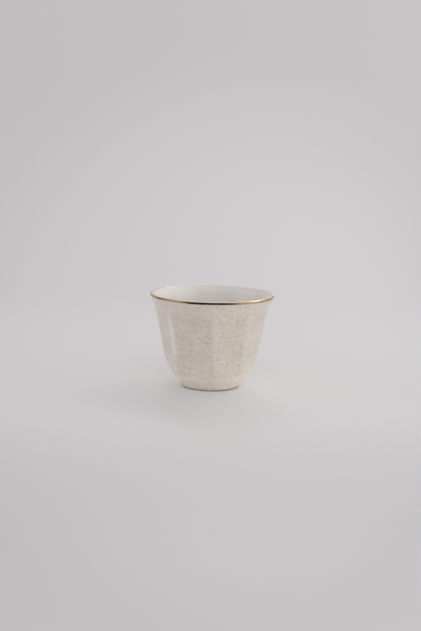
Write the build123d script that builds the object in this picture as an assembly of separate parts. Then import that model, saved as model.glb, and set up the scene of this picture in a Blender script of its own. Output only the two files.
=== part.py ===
from build123d import *
import os
from math import cos, pi, radians, sin, tan

# Overall size and foot, in millimetres and degrees
rim_diameter = 65.5
cup_height = 50.0
foot_diameter = 30.4
foot_height = 2.3
foot_side_height = 0.1
foot_ring_width = 2.4
foot_edge_radius = 0.75
foot_recess_depth = 2.0
recess_side_height = 0.2

# Outer wall over the glaze, measured on the ridges
belly_rise_angle = 48.0
belly_straight_length = 0.8
belly_diameter = 47.0
belly_height = 13.5
waist_height = 26.5
throat_inset = 2.85
throat_below_rim = 9.0
lip_flare_angle = 24.0
lip_thickness = 2.2
lip_straight_length = 1.2

# Wall from a ridge to the bowl, square to the ridge, both glazes included
belly_wall = 4.0
waist_wall = 3.8
throat_wall = 3.3
floor_height = 5.8
bowl_flare_angle = 28.0
bowl_lip_length = 2.6

# Flutes, wide and narrow by turns, with a soft ridge between each two
flute_pairs = 4
wide_flute_angle = 52.0
ridge_angle = 4.0
ridge_turn = 22.0
plain_belly_height = 2.0
flute_foot_fade = 10.0
flute_top_fade = 13.0
plain_collar_height = 1.5
wall_sections = 18
bowl_sections = 12

# Coats
glaze_thickness = 0.3
glaze_seam_angle = 20.0
gilding_thickness = 0.1
gilding_low_angle = -12.0
gilding_high_angle = 55.0

# Directions in the half plane that the round pieces are turned from
flare = radians(lip_flare_angle)
bowl_flare = radians(bowl_flare_angle)
rise = radians(belly_rise_angle)
up_lip = Vector(sin(flare), 0, cos(flare))
out_of_lip = Vector(cos(flare), 0, -sin(flare))
up_bowl = Vector(sin(bowl_flare), 0, cos(bowl_flare))
out_of_bowl = Vector(cos(bowl_flare), 0, -sin(bowl_flare))
up_belly = Vector(sin(rise), 0, cos(rise))

# Lip: a round edge between the straight tops of the wall and of the bowl
lip_radius = lip_thickness / 2
lip_centre = Vector(rim_diameter / 2 - gilding_thickness - lip_radius, 0, cup_height - lip_radius)
lip_start = lip_centre + out_of_lip * lip_radius
collar_start = lip_start - up_lip * lip_straight_length
bowl_lip_start = lip_centre - out_of_bowl * lip_radius - up_bowl * bowl_lip_length

# Foot: a round edge to stand on, an upright side, and a cove into the straight start of the belly
foot_radius = foot_diameter / 2
clay_foot_radius = foot_radius - glaze_thickness
foot_bore_radius = clay_foot_radius - foot_ring_width
cove_reach = foot_height - foot_edge_radius - glaze_thickness - foot_side_height
foot_cove_radius = cove_reach / tan(rise / 2)
cove_centre = Vector(foot_radius + foot_cove_radius, 0, foot_height - cove_reach)
belly_start = Vector(foot_radius, 0, foot_height) + up_belly * (cove_reach + belly_straight_length)
recess_corner_radius = foot_recess_depth - foot_edge_radius - recess_side_height
recess_corner = Vector(foot_bore_radius - recess_corner_radius, 0, foot_recess_depth - recess_corner_radius)

# Flutes
narrow_flute_angle = 360 / flute_pairs - wide_flute_angle
flute_start_height = belly_start.Z + plain_belly_height
flute_end_height = collar_start.Z - plain_collar_height


def upright(radius, height):
    """Point in the half plane."""
    return Vector(radius, 0, height)


# Curves of the ridges and of the bowl, which stands off from the same three knots
belly = upright(belly_diameter / 2, belly_height)
throat = upright(rim_diameter / 2 - throat_inset, cup_height - throat_below_rim)
waist = upright((belly.X + throat.X) / 2, waist_height)
wall_curve = Spline(belly_start, belly, waist, throat, collar_start, tangents=[up_belly, up_lip])


def inside(knot, wall):
    """Point on the bowl, square to the ridges from one of their knots."""
    heading = wall_curve.tangent_at(knot)
    return knot + Vector(-heading.Z, 0, heading.X) * wall


bowl_curve = Spline(
    bowl_lip_start,
    inside(throat, throat_wall),
    inside(waist, waist_wall),
    inside(belly, belly_wall),
    upright(0, floor_height),
    tangents=[-up_bowl, (-1, 0, 0)],
)


def arc(centre, radius, start, end):
    """Arc in the half plane, between two angles above the outward direction."""
    angles = [radians(start), radians(start + end) / 2, radians(end)]
    return ThreePointArc(*[centre + Vector(cos(angle), 0, sin(angle)) * radius for angle in angles])


def turned(*curves):
    """Solid turned about the axis from curves in order, with straight lines where they don't meet."""
    start = curves[0] @ 0
    tail = curves[0] @ 1
    outline = list(curves[0].edges())
    for curve in curves[1:]:
        near, far = sorted([curve @ 0, curve @ 1], key=lambda place: (place - tail).length)
        if near != tail:
            outline.append(Line(tail, near))
        outline.extend(curve.edges())
        tail = far
    if tail != start:
        outline.append(Line(tail, start))
    return revolve(make_face(outline), Axis.Z)


def clay_bowl_curve():
    """The bowl's curve moved into the clay by the thickness of the glaze."""
    places = []
    for step in range(bowl_sections):
        share = step / (bowl_sections - 1)
        heading = bowl_curve % share
        places.append(bowl_curve @ share + Vector(-heading.Z, 0, heading.X) * glaze_thickness)
    return Spline(*places, tangents=[bowl_curve % 0, bowl_curve % 1])


def flute_strength(height):
    """Share of the full flute at a height, eased in above the foot and out below the collar."""
    strength = 1
    for way in (
        (height - flute_start_height) / flute_foot_fade,
        (flute_end_height - height) / flute_top_fade,
    ):
        way = min(max(way, 0), 1)
        strength *= way * way * (3 - 2 * way)
    return strength


def fluted_outline(radius, height, strength):
    """Outline of the wall at one height, which is a circle where the flutes have no strength."""
    half_ridge = radians(ridge_angle / 2)
    turn = half_ridge + strength * (radians(ridge_turn) - half_ridge)
    shoulder = radius / (cos(half_ridge) + sin(half_ridge) * tan(turn / 2))

    def bow(middle, half_span, bend):
        """Arc between two shoulders, which leaves its chord at the angle of the bend."""
        crown = shoulder * (cos(half_span) + sin(half_span) * tan(bend))
        places = [(shoulder, middle - half_span), (crown, middle), (shoulder, middle + half_span)]
        points = [Vector(reach * cos(angle), reach * sin(angle), height) for reach, angle in places]
        return Bezier(*points, weights=[1, cos(bend), 1])

    edges = []
    ridge = -radians(wide_flute_angle) / 2
    for flute in [radians(wide_flute_angle), radians(narrow_flute_angle)] * flute_pairs:
        edges.append(bow(ridge, half_ridge, turn))
        edges.append(bow(ridge + flute / 2, flute / 2 - half_ridge, flute / 2 - turn))
        ridge += flute
    return Wire(edges)


def fluted_wall(coat):
    """Solid within the fluted wall, from the belly's start to the collar, under a coat."""
    outlines = []
    for step in range(wall_sections):
        share = (1 - cos(pi * step / (wall_sections - 1))) / 2
        place = wall_curve @ share
        radius = place.X - coat / (wall_curve % share).Z
        outlines.append(fluted_outline(radius, place.Z, flute_strength(place.Z)))
    return Solid.make_loft(outlines)


def cove_side(coat):
    """Side of the foot with its cove and the start of the belly, under a coat."""
    cove = arc(cove_centre, foot_cove_radius + coat, 180, 180 - belly_rise_angle)
    return Wire([cove, Line(cove @ 1, upright(belly_start.X - coat / cos(rise), belly_start.Z))])


def lip_round(coat, start=-lip_flare_angle, end=180 - bowl_flare_angle):
    """Round edge of the lip under a coat, the whole of it or between two angles."""
    return arc(lip_centre, lip_radius - coat, start, end)


def recess_side(coat):
    """Ceiling, corner and side of the hollow in the foot, over a coat."""
    corner = arc(recess_corner, recess_corner_radius - coat, 90, 0)
    centre = upright(0, foot_recess_depth - coat)
    return Wire([Line(centre, corner @ 0), corner])


clay_bowl = clay_bowl_curve()
clay_wall = fluted_wall(glaze_thickness)
clay_lip = lip_round(glaze_thickness)
clay_collar = upright(collar_start.X - glaze_thickness / cos(flare), collar_start.Z)
bowl_collar = clay_lip @ 1 - up_bowl * (((clay_lip @ 1).Z - collar_start.Z) / cos(bowl_flare))

# Porcelain body: the fluted wall round the bowl, the collar with its lip, and the foot
bowl_space = turned(clay_bowl, Line(upright(0, cup_height), clay_lip @ 1))
collar = turned(Line(bowl_collar, clay_collar), clay_lip)
foot = turned(
    recess_side(0),
    arc(upright(foot_bore_radius + foot_edge_radius, foot_edge_radius), foot_edge_radius, 180, 270),
    arc(upright(clay_foot_radius - foot_edge_radius, foot_edge_radius), foot_edge_radius, 270, 360),
    cove_side(glaze_thickness),
    Line(upright(0, belly_start.Z), upright(0, foot_recess_depth)),
)
porcelain_body = clay_wall - bowl_space + collar + foot

# Outer glaze: from the bare edge of the foot, where it ends in a bead, up to the seam on the lip
glaze_foot = turned(
    arc(upright(clay_foot_radius, foot_edge_radius + glaze_thickness), glaze_thickness, 270, 360),
    cove_side(0),
    cove_side(glaze_thickness),
)
glaze_collar = turned(
    Line(clay_collar, collar_start),
    lip_round(0, end=glaze_seam_angle),
    lip_round(glaze_thickness, end=glaze_seam_angle),
)
outer_glaze = fluted_wall(0) - clay_wall + glaze_foot + glaze_collar

# Inner glaze: the bowl, and over the lip to the seam
inner_glaze = turned(
    lip_round(0, start=glaze_seam_angle),
    bowl_curve,
    clay_bowl,
    lip_round(glaze_thickness, start=glaze_seam_angle),
)

# Base glaze: the hollow inside the foot ring
base_glaze = turned(
    Line(
        upright(foot_bore_radius, foot_edge_radius),
        upright(foot_bore_radius - glaze_thickness, foot_edge_radius),
    ),
    recess_side(glaze_thickness),
    recess_side(0),
)

# Gilding: a band round the lip's outer edge, over the seam of the two glazes
rim_gilding = turned(
    lip_round(0, gilding_low_angle, gilding_high_angle),
    lip_round(-gilding_thickness, gilding_low_angle, gilding_high_angle),
)

pieces = {
    "porcelain_body": porcelain_body,
    "outer_glaze": outer_glaze,
    "inner_glaze": inner_glaze,
    "base_glaze": base_glaze,
    "rim_gilding": rim_gilding,
}
os.makedirs("parts", exist_ok=True)
for name, piece in pieces.items():
    export_step(piece, f"parts/{name}.step")
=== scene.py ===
import math
import bpy
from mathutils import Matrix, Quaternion, Vector


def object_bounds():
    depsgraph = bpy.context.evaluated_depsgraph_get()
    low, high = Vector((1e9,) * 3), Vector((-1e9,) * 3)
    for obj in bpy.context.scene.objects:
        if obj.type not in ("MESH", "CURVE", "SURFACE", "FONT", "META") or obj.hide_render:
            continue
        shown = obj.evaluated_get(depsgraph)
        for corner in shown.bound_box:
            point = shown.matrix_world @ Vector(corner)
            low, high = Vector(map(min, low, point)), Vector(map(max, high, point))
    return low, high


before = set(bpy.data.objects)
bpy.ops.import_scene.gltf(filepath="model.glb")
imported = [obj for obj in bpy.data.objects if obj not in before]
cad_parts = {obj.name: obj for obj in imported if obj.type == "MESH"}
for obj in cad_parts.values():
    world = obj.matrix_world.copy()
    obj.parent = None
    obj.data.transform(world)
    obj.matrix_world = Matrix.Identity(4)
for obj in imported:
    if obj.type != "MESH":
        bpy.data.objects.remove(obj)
cad_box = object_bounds()

# Photograph's frame in pixels, and where the cup's middle lies in it
image_width = 421
image_height = 631
middle_column = 211.2
middle_row = 339.6

# Camera, in metres and degrees
camera_distance = 0.7
camera_azimuth = 22.2
camera_elevation = 10.4
camera_roll = 1.3
focal_pixels = 1315
sensor_width = 36.0

# Light of the room, where a level of 1 is white: by the height of its direction, and from left to right
horizon_level = 1.16
zenith_level = 0.38
zenith_height = 0.7
side_levels = (0.72, 1.22)

# Background: colours from left to right, and a dimmer one with a share that fades out between two angles
backdrop_left = (202, 200, 201)
backdrop_right = (211, 209, 210)
backdrop_half_width = 0.16
backdrop_dim = (166, 164, 165)
backdrop_dim_share = 0.3
backdrop_dim_angles = (13.0, 4.0)

# Floor: darker towards the camera, and in the background's colour far from the cup
floor_radius = 4.0
floor_sides = 64
floor_cloud = (0.4, 2.0)
floor_colours = ((235, 233, 234), (238, 236, 237))
floor_front = (0.03, 0.25)
floor_front_colour = (216, 214, 215)
floor_fade = (0.08, 0.4)
# Share of the background's glow that the floor keeps even beside the cup, painted light that weakens the
# cup's shadow
floor_glow = 0.15
floor_roughness = 0.45
floor_shine = 0.35

# Screens round the cup that only shiny surfaces show: distance, height, sides by azimuth, and colours
screen_distance = 1.4
screen_height = 4.0
front_flag = (-58.0, 50.0)
left_flag = (-124.0, -110.0)
right_card = (54.0, 140.0)
dark_cloth = (22, 20, 19)
pale_cloth = (253, 250, 246)

# Soft boxes: azimuth, elevation, distance, width, height, level, colour, and whether reflections show them
soft_boxes = {
    "right_light": (152, 50, 0.6, 0.75, 0.18, 2.1, (255, 253, 250), True),
    "front_fill": (62, 5, 0.9, 0.8, 0.15, 4.3, (255, 254, 252), False),
    "top_fill": (5, 40, 1.0, 0.5, 0.5, 1.65, (255, 254, 252), False),
    "left_light": (-85, 6, 0.9, 0.8, 0.22, 4.1, (243, 248, 255), False),
}

# Clouds: size in metres, detail and at times roughness. The middle of their range is stretched to its ends
cloud_range = (0.3, 0.7)

# Speckled glaze: clouded cream with a finer mottle, its gloss and its relief
cream_cloud = (0.009, 4.0)
cream_colours = ((208, 199, 188), (215, 206, 196))
mottle_cloud = (0.0016, 2.0)
mottle_range = (0.4, 0.65)
mottle_share = 0.6
mottle_colour = (201, 191, 180)
cream_gloss_cloud = (0.004, 2.0)
cream_roughness = (0.14, 0.2)
cream_relief_cloud = (0.0035, 1.0)
cream_relief_depth = 0.00008

# Ridges of the wall, by angle from the middle of a wide flute and by height
flute_pairs = 4
ridge_turn = math.radians(26.0)
ridge_width = math.radians(5.5)
ridge_ends = ((0.012, 0.022), (0.046, 0.036))

# Shares of painted light in the glaze: paler on the plain belly and collar, and a painted highlight on most
# ridges and more on the brightest one
plain_light_share = 0.25
plain_light_colour = (231, 222, 211)
ridge_highlight_shares = (0.18, 0.8)
ridge_highlight_colour = (230, 224, 221)
brightest_ridge_side = math.radians(-116.0)
brightest_ridge_reach = (0.012, 0.026)

# Painted light that makes the glaze paler under the belly, and painted shade that makes it brown at the
# foot
underbelly_light_heights = (0.0105, 0.006)
underbelly_light_share = 0.85
underbelly_light_colour = (236, 226, 216)
foot_shade_heights = (0.0032, 0.0008)
foot_shade_share = 0.5
foot_shade_colour = (152, 136, 122)

# Iron specks in the glaze, by layer: spacing, largest radius, share of the cells with a speck, and strength
speck_layers = (
    (0.0013, 0.00046, 0.9, 0.65),
    (0.0008, 0.00032, 0.9, 0.55),
    (0.0026, 0.0005, 0.7, 0.68),
)
speck_colour = (118, 106, 94)
speck_roughness = 0.2
speck_relief = -0.15

# Every speck: the soft edge as a share of the largest radius, and the range of depths
speck_edge = 0.3
speck_depths = (0.45, 1.0)

# White glaze: clouded, greyer at the top inside the lip, and whitest beside the gold, a painted highlight
white_cloud = (0.012, 3.0)
white_colours = ((233, 227, 223), (238, 233, 229))
lip_heights = (0.0486, 0.0494)
lip_colour = (228, 221, 217)
lip_highlight_radii = (0.0315, 0.0318)
lip_highlight_colour = (253, 248, 243)
white_gloss_cloud = (0.006, 2.0)
white_roughness = (0.08, 0.16)
white_relief_cloud = (0.005, 1.0)
white_relief_depth = 0.00006

# Bare clay: clouded, with specks as in the glaze, and darker at the edge that it stands on, a painted
# contact shadow
clay_cloud = (0.0025, 4.0)
clay_colours = ((196, 184, 168), (208, 198, 184))
clay_specks = (0.0014, 0.0003, 0.7, 0.7)
clay_speck_colour = (116, 100, 84)
contact_shadow_height = 0.0014
contact_shadow_share = 0.7
contact_shadow_colour = (104, 90, 77)
clay_roughness = 0.85
clay_relief_cloud = (0.0003, 3.0, 0.7)
clay_relief_depth = 0.00005

# Gold
gold_cloud = (0.003, 3.0)
gold_colours = ((205, 174, 139), (221, 193, 157))
gold_gloss_cloud = (0.0012, 3.0)
gold_roughness = (0.14, 0.26)
gold_relief_cloud = (0.0015, 2.0)
gold_relief_depth = 0.00003


def linear(levels):
    """Linear colour with alpha, from levels of 0 to 255 as a screen shows them."""
    shares = [level / 255 for level in levels]
    return [s / 12.92 if s <= 0.04045 else ((s + 0.055) / 1.055) ** 2.4 for s in shares] + [1]


def bearing(azimuth, elevation):
    """Direction from the cup, with azimuth to the right of the camera's own."""
    turn = math.radians(camera_azimuth + azimuth)
    lift = math.radians(elevation)
    return Vector((math.sin(turn) * math.cos(lift), -math.cos(turn) * math.cos(lift), math.sin(lift)))


def camera_place():
    """Place of the camera, at its distance and elevation from the cup's middle."""
    low, high = cad_box
    return Vector((0, 0, (low.z + high.z) / 2)) + bearing(0, camera_elevation) * camera_distance


def join(tree, socket, value):
    """Links a socket to another, or sets its constant."""
    if isinstance(value, bpy.types.NodeSocket):
        tree.links.new(value, socket)
    else:
        socket.default_value = value


def node(tree, kind, inputs, **settings):
    """New node with its settings, and its inputs by name or place."""
    made = tree.nodes.new("ShaderNode" + kind)
    for name, value in settings.items():
        setattr(made, name, value)
    for name, value in inputs.items():
        join(tree, made.inputs[name], value)
    return made


def number(tree, operation, *values):
    """Number worked out from one or two others."""
    return node(tree, "Math", dict(enumerate(values)), operation=operation).outputs["Value"]


def vector_result(tree, operation, *values):
    """Vector worked out from one or two others."""
    return node(tree, "VectorMath", dict(enumerate(values)), operation=operation).outputs["Vector"]


def vector_measure(tree, operation, *values):
    """Number worked out from one or two vectors."""
    return node(tree, "VectorMath", dict(enumerate(values)), operation=operation).outputs["Value"]


def product(tree, first, second):
    return number(tree, "MULTIPLY", first, second)


def height_of(tree, place):
    return node(tree, "SeparateXYZ", {0: place}).outputs["Z"]


def ramp(tree, value, low, high, to_low=0.0, to_high=1.0):
    """Value eased from one range to another, and held at its ends."""
    inputs = {"Value": value, "From Min": low, "From Max": high, "To Min": to_low, "To Max": to_high}
    return node(tree, "MapRange", inputs, interpolation_type="SMOOTHSTEP").outputs["Result"]


def mixed(tree, share, first, second):
    """Colour between two others, each a socket or the levels that a screen shows."""
    first, second = [linear(each) if isinstance(each, tuple) else each for each in (first, second)]
    inputs = {"Factor": share, 6: first, 7: second}
    return node(tree, "Mix", inputs, data_type="RGBA").outputs[2]


def cloud(tree, place, size, detail, roughness=0.5):
    """Soft noise with features of a size in metres, about 0.5 on average."""
    inputs = {"Vector": place, "Scale": 1 / size, "Detail": detail, "Roughness": roughness}
    return node(tree, "TexNoise", inputs, noise_dimensions="3D").outputs["Fac"]


def clouded(tree, place, kind, ends=(0.0, 1.0)):
    """Value that drifts from one end to the other in clouds of a kind."""
    return ramp(tree, cloud(tree, place, *kind), *cloud_range, *ends)


def specks(tree, place, spacing, radius, share, strength):
    """Round specks: one in each cell, of which a share show, with differing radii and depths."""
    cells = node(tree, "TexVoronoi", {"Vector": place, "Scale": 1 / spacing}, voronoi_dimensions="3D")
    chances = node(tree, "SeparateColor", {0: cells.outputs["Color"]})
    reach = ramp(tree, chances.outputs[0], 1 - share, 1.0, 0.0, radius / spacing)
    edge = number(tree, "SUBTRACT", reach, cells.outputs["Distance"])
    disc = ramp(tree, edge, 0.0, speck_edge * radius / spacing)
    depth = ramp(tree, chances.outputs[1], 0.0, 1.0, *speck_depths)
    return product(tree, product(tree, disc, depth), strength)


def on_ridge(tree, place):
    """Share of painted highlight along the ridges beside the wide flutes, highest on one side of the cup.
    """
    axes = node(tree, "SeparateXYZ", {0: place}).outputs
    turn = number(tree, "ARCTAN2", axes["Y"], axes["X"])
    from_middle = number(tree, "PINGPONG", turn, math.pi / flute_pairs)
    distance = number(tree, "ABSOLUTE", number(tree, "SUBTRACT", from_middle, ridge_turn))
    side = (math.cos(brightest_ridge_side), math.sin(brightest_ridge_side), 0)
    reach = vector_measure(tree, "DOT_PRODUCT", place, side)
    # Painted highlight, stronger on the ridges towards one side
    highlight_share = ramp(tree, reach, *brightest_ridge_reach, *ridge_highlight_shares)
    return ramp(tree, distance, 0.0, ridge_width, highlight_share, 0.0)


def flute_depth(tree, height):
    """1 at the heights where the flutes are deep, and 0 on the plain belly and collar."""
    foot_end, top_end = [ramp(tree, height, *heights) for heights in ridge_ends]
    return product(tree, foot_end, top_end)


def new_material(name):
    """Material with a principled shader, and the place on the object in metres."""
    material = bpy.data.materials.new(name)
    material.use_nodes = True
    tree = material.node_tree
    tree.nodes.clear()
    output = tree.nodes.new("ShaderNodeOutputMaterial")
    shader = tree.nodes.new("ShaderNodeBsdfPrincipled")
    tree.links.new(shader.outputs["BSDF"], output.inputs["Surface"])
    place = tree.nodes.new("ShaderNodeTexCoord").outputs["Object"]
    return material, tree, shader, place


def bumped(tree, shader, height, depth):
    """Gives the shader the relief of a height of 0 to 1, with its full depth in metres."""
    inputs = {"Height": height, "Distance": depth, "Strength": 1.0}
    join(tree, shader.inputs["Normal"], node(tree, "Bump", inputs).outputs["Normal"])


def speckled_glaze():
    """Cream glaze over a clay that bleeds iron: specks of many sizes, clouded colour and a soft gloss."""
    material, tree, shader, place = new_material("speckled_glaze")
    height = height_of(tree, place)
    depth = flute_depth(tree, height)
    layers = [specks(tree, place, *layer) for layer in speck_layers]
    marks = layers[0]
    for layer in layers[1:]:
        marks = number(tree, "MAXIMUM", marks, layer)
    colour = mixed(tree, clouded(tree, place, cream_cloud), *cream_colours)
    for share, tint in (
        (ramp(tree, cloud(tree, place, *mottle_cloud), *mottle_range, 0.0, mottle_share), mottle_colour),
        # Painted light: paler glaze on the plain belly and collar
        (ramp(tree, depth, 0.0, 1.0, plain_light_share, 0.0), plain_light_colour),
        # Painted highlight along the ridges
        (product(tree, on_ridge(tree, place), depth), ridge_highlight_colour),
        # Painted light: paler glaze under the belly
        (ramp(tree, height, *underbelly_light_heights, 0.0, underbelly_light_share), underbelly_light_colour),
        # Painted shade: browner glaze at the foot
        (ramp(tree, height, *foot_shade_heights, 0.0, foot_shade_share), foot_shade_colour),
        (marks, speck_colour),
    ):
        colour = mixed(tree, share, colour, tint)
    join(tree, shader.inputs["Base Color"], colour)
    gloss = clouded(tree, place, cream_gloss_cloud, cream_roughness)
    gloss = number(tree, "ADD", gloss, product(tree, marks, speck_roughness))
    join(tree, shader.inputs["Roughness"], gloss)
    relief = cloud(tree, place, *cream_relief_cloud)
    relief = number(tree, "ADD", relief, product(tree, marks, speck_relief))
    bumped(tree, shader, relief, cream_relief_depth)
    return material


def white_glaze():
    """White glossy glaze, faintly clouded, with a soft waviness, greyer at the top inside the lip and with
    a painted highlight beside the gold.
    """
    material, tree, shader, place = new_material("white_glaze")
    colour = mixed(tree, clouded(tree, place, white_cloud), *white_colours)
    colour = mixed(tree, ramp(tree, height_of(tree, place), *lip_heights), colour, lip_colour)
    radius = vector_measure(tree, "LENGTH", vector_result(tree, "MULTIPLY", place, (1, 1, 0)))
    # Painted highlight: whitest at the lip's outer edge beside the gold
    colour = mixed(tree, ramp(tree, radius, *lip_highlight_radii), colour, lip_highlight_colour)
    join(tree, shader.inputs["Base Color"], colour)
    join(tree, shader.inputs["Roughness"], clouded(tree, place, white_gloss_cloud, white_roughness))
    bumped(tree, shader, cloud(tree, place, *white_relief_cloud), white_relief_depth)
    return material


def biscuit():
    """Bare fired clay: matt and grainy, with a painted contact shadow where it meets the table."""
    material, tree, shader, place = new_material("biscuit")
    colour = mixed(tree, clouded(tree, place, clay_cloud), *clay_colours)
    colour = mixed(tree, specks(tree, place, *clay_specks), colour, clay_speck_colour)
    # Painted contact shadow: darker clay at the edge that stands on the table
    contact_shadow = ramp(tree, height_of(tree, place), 0.0, contact_shadow_height, contact_shadow_share, 0.0)
    colour = mixed(tree, contact_shadow, colour, contact_shadow_colour)
    join(tree, shader.inputs["Base Color"], colour)
    shader.inputs["Roughness"].default_value = clay_roughness
    bumped(tree, shader, cloud(tree, place, *clay_relief_cloud), clay_relief_depth)
    return material


def gold():
    """Burnished gold, with clouded colour and gloss."""
    material, tree, shader, place = new_material("gold")
    join(tree, shader.inputs["Base Color"], mixed(tree, clouded(tree, place, gold_cloud), *gold_colours))
    shader.inputs["Metallic"].default_value = 1.0
    join(tree, shader.inputs["Roughness"], clouded(tree, place, gold_gloss_cloud, gold_roughness))
    bumped(tree, shader, cloud(tree, place, *gold_relief_cloud), gold_relief_depth)
    return material


def rightward(tree, direction):
    """Share of a direction that points to the camera's right."""
    return vector_measure(tree, "DOT_PRODUCT", direction, bearing(90, 0))


def backdrop(tree, direction):
    """Colour of the background in a direction, a little paler to the right and dimmer to the edges."""
    share = ramp(tree, rightward(tree, direction), -backdrop_half_width, backdrop_half_width)
    colour = mixed(tree, share, backdrop_left, backdrop_right)
    ahead = vector_measure(tree, "DOT_PRODUCT", direction, -bearing(0, camera_elevation))
    limits = [math.cos(math.radians(angle)) for angle in backdrop_dim_angles]
    return mixed(tree, ramp(tree, ahead, *limits, backdrop_dim_share, 0.0), colour, backdrop_dim)


def seen_share(tree):
    """1 for what the camera sees, straight, mirrored or through glass, and 0 for the light itself."""
    path = node(tree, "LightPath", {}).outputs
    share = path["Is Camera Ray"]
    for kind in ("Is Glossy Ray", "Is Transmission Ray"):
        share = number(tree, "MAXIMUM", share, path[kind])
    return share


def paper():
    """Pale matt floor, which far from the cup takes on the colour of the background."""
    material, tree, shader, place = new_material("pale_floor")
    colour = mixed(tree, clouded(tree, place, floor_cloud), *floor_colours)
    nearer = vector_measure(tree, "DOT_PRODUCT", place, bearing(0, 0))
    colour = mixed(tree, ramp(tree, nearer, *floor_front), colour, floor_front_colour)
    join(tree, shader.inputs["Base Color"], colour)
    shader.inputs["Roughness"].default_value = floor_roughness
    shader.inputs["Specular IOR Level"].default_value = floor_shine
    distance = vector_measure(tree, "LENGTH", place)
    # The floor glows in the background's colour, fully far from the cup and partly beside it, where this
    # painted light weakens the cup's shadow
    share = product(tree, ramp(tree, distance, *floor_fade, floor_glow), seen_share(tree))
    heading = vector_result(tree, "NORMALIZE", vector_result(tree, "SUBTRACT", place, camera_place()))
    glow = node(tree, "Emission", {"Color": backdrop(tree, heading)})
    surface = node(tree, "MixShader", {0: share, 1: shader.outputs["BSDF"], 2: glow.outputs["Emission"]})
    output = next(made for made in tree.nodes if made.type == "OUTPUT_MATERIAL")
    join(tree, output.inputs["Surface"], surface.outputs["Shader"])
    return material


def cloth(name, colour):
    """Matt cloth of a screen."""
    material, _, shader, _ = new_material(name)
    shader.inputs["Base Color"].default_value = linear(colour)
    shader.inputs["Roughness"].default_value = 1.0
    return material


def add_object(name, data):
    made = bpy.data.objects.new(name, data)
    bpy.context.scene.collection.objects.link(made)
    return made


def face_cup(made, back):
    """Turns a camera or a lamp to look at the cup from the bearing that it stands on."""
    made.rotation_mode = "QUATERNION"
    made.rotation_quaternion = (-back).to_track_quat("-Z", "Y")


def add_plate(name, corners, material):
    """Flat piece of the stage."""
    mesh = bpy.data.meshes.new(name)
    mesh.from_pydata(corners, [], [range(len(corners))])
    mesh.materials.append(material)
    made = add_object(name, mesh)
    return made


def add_screen(name, sides, material):
    """Upright screen between two azimuths, which only reflections show."""
    left, right = [bearing(side, 0) * screen_distance for side in sides]
    up = Vector((0, 0, screen_height))
    screen = add_plate(name, [left, right, right + up, left + up], material)
    screen.visible_camera = False
    screen.visible_diffuse = False
    screen.visible_shadow = False


def add_camera():
    data = bpy.data.cameras.new("camera")
    data.sensor_width = sensor_width
    data.lens = focal_pixels * sensor_width / image_height
    data.shift_x = (image_width / 2 - middle_column) / image_height
    data.shift_y = (middle_row - image_height / 2) / image_height
    made = add_object("camera", data)
    made.location = camera_place()
    face_cup(made, bearing(0, camera_elevation))
    roll = Quaternion((0, 0, 1), math.radians(camera_roll))
    made.rotation_quaternion = made.rotation_quaternion @ roll
    bpy.context.scene.camera = made


def add_soft_light(name, azimuth, elevation, distance, width, height, level, colour, mirrored):
    """Soft box that faces the cup, as bright as its level where 1 is white."""
    data = bpy.data.lights.new(name, "AREA")
    data.shape = "RECTANGLE"
    data.size = width
    data.size_y = height
    data.energy = level * math.pi * width * height
    data.color = linear(colour)[:3]
    made = add_object(name, data)
    back = bearing(azimuth, elevation)
    made.location = back * distance
    face_cup(made, back)
    made.visible_camera = False
    made.visible_glossy = mirrored


def add_world():
    world = bpy.data.worlds.new("studio")
    bpy.context.scene.world = world
    world.use_nodes = True
    tree = world.node_tree
    direction = node(tree, "TexCoord", {}).outputs["Generated"]
    level = ramp(tree, height_of(tree, direction), 0.0, zenith_height, horizon_level, zenith_level)
    level = product(tree, level, ramp(tree, rightward(tree, direction), -1.0, 1.0, *side_levels))
    light = node(tree, "CombineColor", {"Red": level, "Green": level, "Blue": level}).outputs["Color"]
    colour = mixed(tree, seen_share(tree), light, backdrop(tree, direction))
    join(tree, tree.nodes["Background"].inputs["Color"], colour)


def add_stage():
    turns = [2 * math.pi * side / floor_sides for side in range(floor_sides)]
    corners = [(floor_radius * math.cos(turn), floor_radius * math.sin(turn), 0) for turn in turns]
    add_plate("floor", corners, paper())
    dark = cloth("dark_cloth", dark_cloth)
    pale = cloth("pale_cloth", pale_cloth)
    add_screen("front_flag", front_flag, dark)
    add_screen("left_flag", left_flag, dark)
    add_screen("right_card", right_card, pale)


materials = {
    "porcelain_body": biscuit(),
    "outer_glaze": speckled_glaze(),
    "inner_glaze": white_glaze(),
    "rim_gilding": gold(),
}
materials["base_glaze"] = materials["outer_glaze"]
for name, material in materials.items():
    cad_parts[name].material_slots[0].material = material

add_camera()
add_world()
add_stage()
for name, values in soft_boxes.items():
    add_soft_light(name, *values)

bpy.context.scene.view_settings.view_transform = "Standard"
